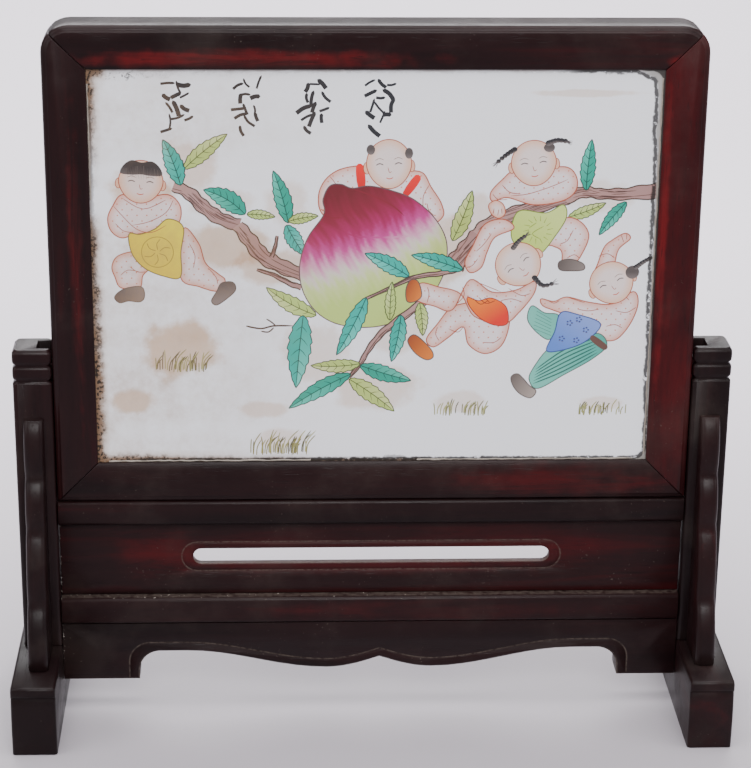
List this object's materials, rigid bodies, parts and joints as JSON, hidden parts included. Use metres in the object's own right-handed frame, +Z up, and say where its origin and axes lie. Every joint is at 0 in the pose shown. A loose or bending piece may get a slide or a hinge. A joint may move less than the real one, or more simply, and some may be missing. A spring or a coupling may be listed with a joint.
{
  "type": "table screen",
  "caption": "Table screen: painted porcelain plaque in a mitred hardwood frame, held in the grooved posts of a low stand with scalloped brackets and a shaped apron.",
  "frame": {"origin": "on the ground under the middle of the object", "axes": "+Z up, +X to the right along the width, the painted front faces -Y"},
  "size_m": [0.4, 0.125, 0.3977],
  "materials": {
    "hardwood": "dark red-brown hardwood, waxed to a low sheen",
    "porcelain": "white glazed porcelain with an overglaze painting"
  },
  "bodies": {
    "root": {"porcelain_plaque": "porcelain", "back_board": "hardwood", "frame_top_rail": "hardwood", "frame_bottom_rail": "hardwood", "frame_left_stile": "hardwood", "frame_right_stile": "hardwood", "left_post": "hardwood", "right_post": "hardwood", "left_foot": "hardwood", "right_foot": "hardwood", "left_front_bracket": "hardwood", "left_back_bracket": "hardwood", "right_front_bracket": "hardwood", "right_back_bracket": "hardwood", "upper_rail": "hardwood", "slotted_panel": "hardwood", "lower_rail": "hardwood", "apron": "hardwood"}
  },
  "joints": []
}
